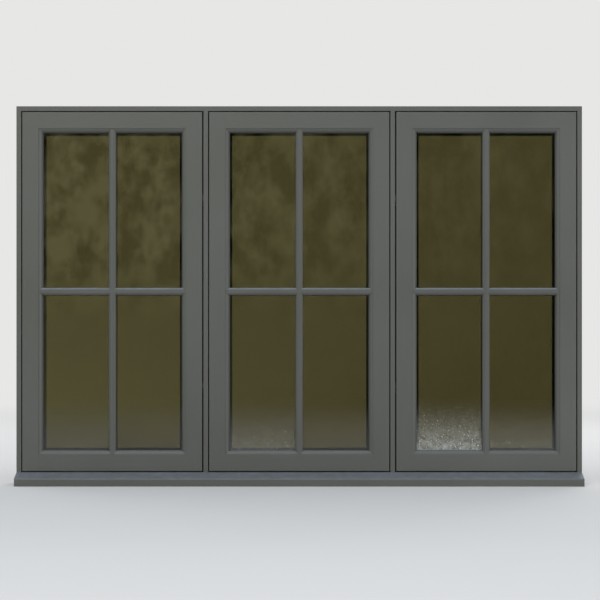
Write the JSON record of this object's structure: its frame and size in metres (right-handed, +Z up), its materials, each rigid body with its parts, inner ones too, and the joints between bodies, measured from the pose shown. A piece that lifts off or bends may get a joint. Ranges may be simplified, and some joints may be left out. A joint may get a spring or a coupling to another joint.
{
  "type": "flush casement window",
  "caption": "Painted timber casement window with moulded sashes, glazing bars, sealed glass, concealed friction stays, inside handles and a projecting sill.",
  "frame": {"origin": "centre of the sill's underside, in the plane of the frame's outer face", "axes": "+X right as seen from outside, +Y into the building, +Z up"},
  "size_m": [1.8, 0.1425, 1.206],
  "materials": {
    "painted_frame": "satin paint",
    "painted_sash": "satin paint",
    "outer_glass": "clear float glass",
    "inner_glass": "coated float glass",
    "spacer": "matt black",
    "seal": "matt",
    "steel": "brushed stainless steel",
    "handle_metal": "satin chrome"
  },
  "bodies": {
    "frame": {"head": "painted_frame", "sill": "painted_frame", "left_jamb": "painted_frame", "left_mullion": "painted_frame", "right_mullion": "painted_frame", "right_jamb": "painted_frame", "lock_keeps": "steel", "middle_sash_left_stile": "painted_sash", "middle_sash_right_stile": "painted_sash", "middle_sash_top_rail": "painted_sash", "middle_sash_bottom_rail": "painted_sash", "middle_sash_vertical_bar": "painted_sash", "middle_sash_horizontal_bar": "painted_sash", "middle_sash_outer_glass": "outer_glass", "middle_sash_inner_glass": "inner_glass", "middle_sash_glass_spacer": "spacer", "middle_sash_inner_beads": "painted_sash", "middle_sash_seal": "seal", "left_top_stay_track": "steel", "left_bottom_stay_track": "steel", "right_top_stay_track": "steel", "right_bottom_stay_track": "steel"},
    "left_sash": {"left_sash_hinge_stile": "painted_sash", "left_sash_lock_stile": "painted_sash", "left_sash_top_rail": "painted_sash", "left_sash_bottom_rail": "painted_sash", "left_sash_vertical_bar": "painted_sash", "left_sash_horizontal_bar": "painted_sash", "left_sash_outer_glass": "outer_glass", "left_sash_inner_glass": "inner_glass", "left_sash_glass_spacer": "spacer", "left_sash_inner_beads": "painted_sash", "left_sash_seal": "seal", "left_top_stay_bar": "steel", "left_bottom_stay_bar": "steel", "left_lock_case": "steel", "left_handle_base": "handle_metal"},
    "right_sash": {"right_sash_lock_stile": "painted_sash", "right_sash_hinge_stile": "painted_sash", "right_sash_top_rail": "painted_sash", "right_sash_bottom_rail": "painted_sash", "right_sash_vertical_bar": "painted_sash", "right_sash_horizontal_bar": "painted_sash", "right_sash_outer_glass": "outer_glass", "right_sash_inner_glass": "inner_glass", "right_sash_glass_spacer": "spacer", "right_sash_inner_beads": "painted_sash", "right_sash_seal": "seal", "right_top_stay_bar": "steel", "right_bottom_stay_bar": "steel", "right_lock_case": "steel", "right_handle_base": "handle_metal"},
    "left_top_stay_arm": {"left_top_stay_arm": "steel"},
    "left_bottom_stay_arm": {"left_bottom_stay_arm": "steel"},
    "left_handle": {"left_handle_lever": "handle_metal"},
    "left_lock_rod": {"left_lock_rod": "steel"},
    "right_top_stay_arm": {"right_top_stay_arm": "steel"},
    "right_bottom_stay_arm": {"right_bottom_stay_arm": "steel"},
    "right_handle": {"right_handle_lever": "handle_metal"},
    "right_lock_rod": {"right_lock_rod": "steel"}
  },
  "joints": [
    {"name": "left_top_arm_swing", "type": "hinge", "parent": "frame", "child": "left_top_stay_arm", "pos_m": [-0.636, 0.026, 1.1895], "axis": [0, 0, 1], "range_deg": [0, 80]},
    {"name": "left_bottom_arm_swing", "type": "hinge", "parent": "frame", "child": "left_bottom_stay_arm", "pos_m": [-0.636, 0.026, 0.0425], "axis": [0, 0, 1], "range_deg": [0, 80]},
    {"name": "left_sash_open", "type": "hinge", "parent": "left_top_stay_arm", "child": "left_sash", "pos_m": [-0.756, 0.026, 1.1895], "axis": [0, 0, -1], "range_deg": [0, 160]},
    {"name": "left_handle_turn", "type": "hinge", "parent": "left_sash", "child": "left_handle", "pos_m": [-0.344, 0.075, 0.61625], "axis": [0, -1, 0], "range_deg": [0, 90]},
    {"name": "left_lock_slide", "type": "slide", "parent": "left_sash", "child": "left_lock_rod", "axis": [0, 0, 1], "range_m": [0, 0.02]},
    {"name": "right_top_arm_swing", "type": "hinge", "parent": "frame", "child": "right_top_stay_arm", "pos_m": [0.636, 0.026, 1.1895], "axis": [0, 0, -1], "range_deg": [0, 80]},
    {"name": "right_bottom_arm_swing", "type": "hinge", "parent": "frame", "child": "right_bottom_stay_arm", "pos_m": [0.636, 0.026, 0.0425], "axis": [0, 0, -1], "range_deg": [0, 80]},
    {"name": "right_sash_open", "type": "hinge", "parent": "right_top_stay_arm", "child": "right_sash", "pos_m": [0.756, 0.026, 1.1895], "axis": [0, 0, 1], "range_deg": [0, 160]},
    {"name": "right_handle_turn", "type": "hinge", "parent": "right_sash", "child": "right_handle", "pos_m": [0.344, 0.075, 0.61625], "axis": [0, 1, 0], "range_deg": [0, 90]},
    {"name": "right_lock_slide", "type": "slide", "parent": "right_sash", "child": "right_lock_rod", "axis": [0, 0, 1], "range_m": [0, 0.02]}
  ],
  "couplings": [
    {"joint": "left_top_arm_swing", "follows": "left_sash_open", "ratio": 0.5},
    {"joint": "left_bottom_arm_swing", "follows": "left_sash_open", "ratio": 0.5},
    {"joint": "left_lock_slide", "follows": "left_handle_turn", "m_per_rad": 0.0127},
    {"joint": "right_top_arm_swing", "follows": "right_sash_open", "ratio": 0.5},
    {"joint": "right_bottom_arm_swing", "follows": "right_sash_open", "ratio": 0.5},
    {"joint": "right_lock_slide", "follows": "right_handle_turn", "m_per_rad": 0.0127}
  ]
}
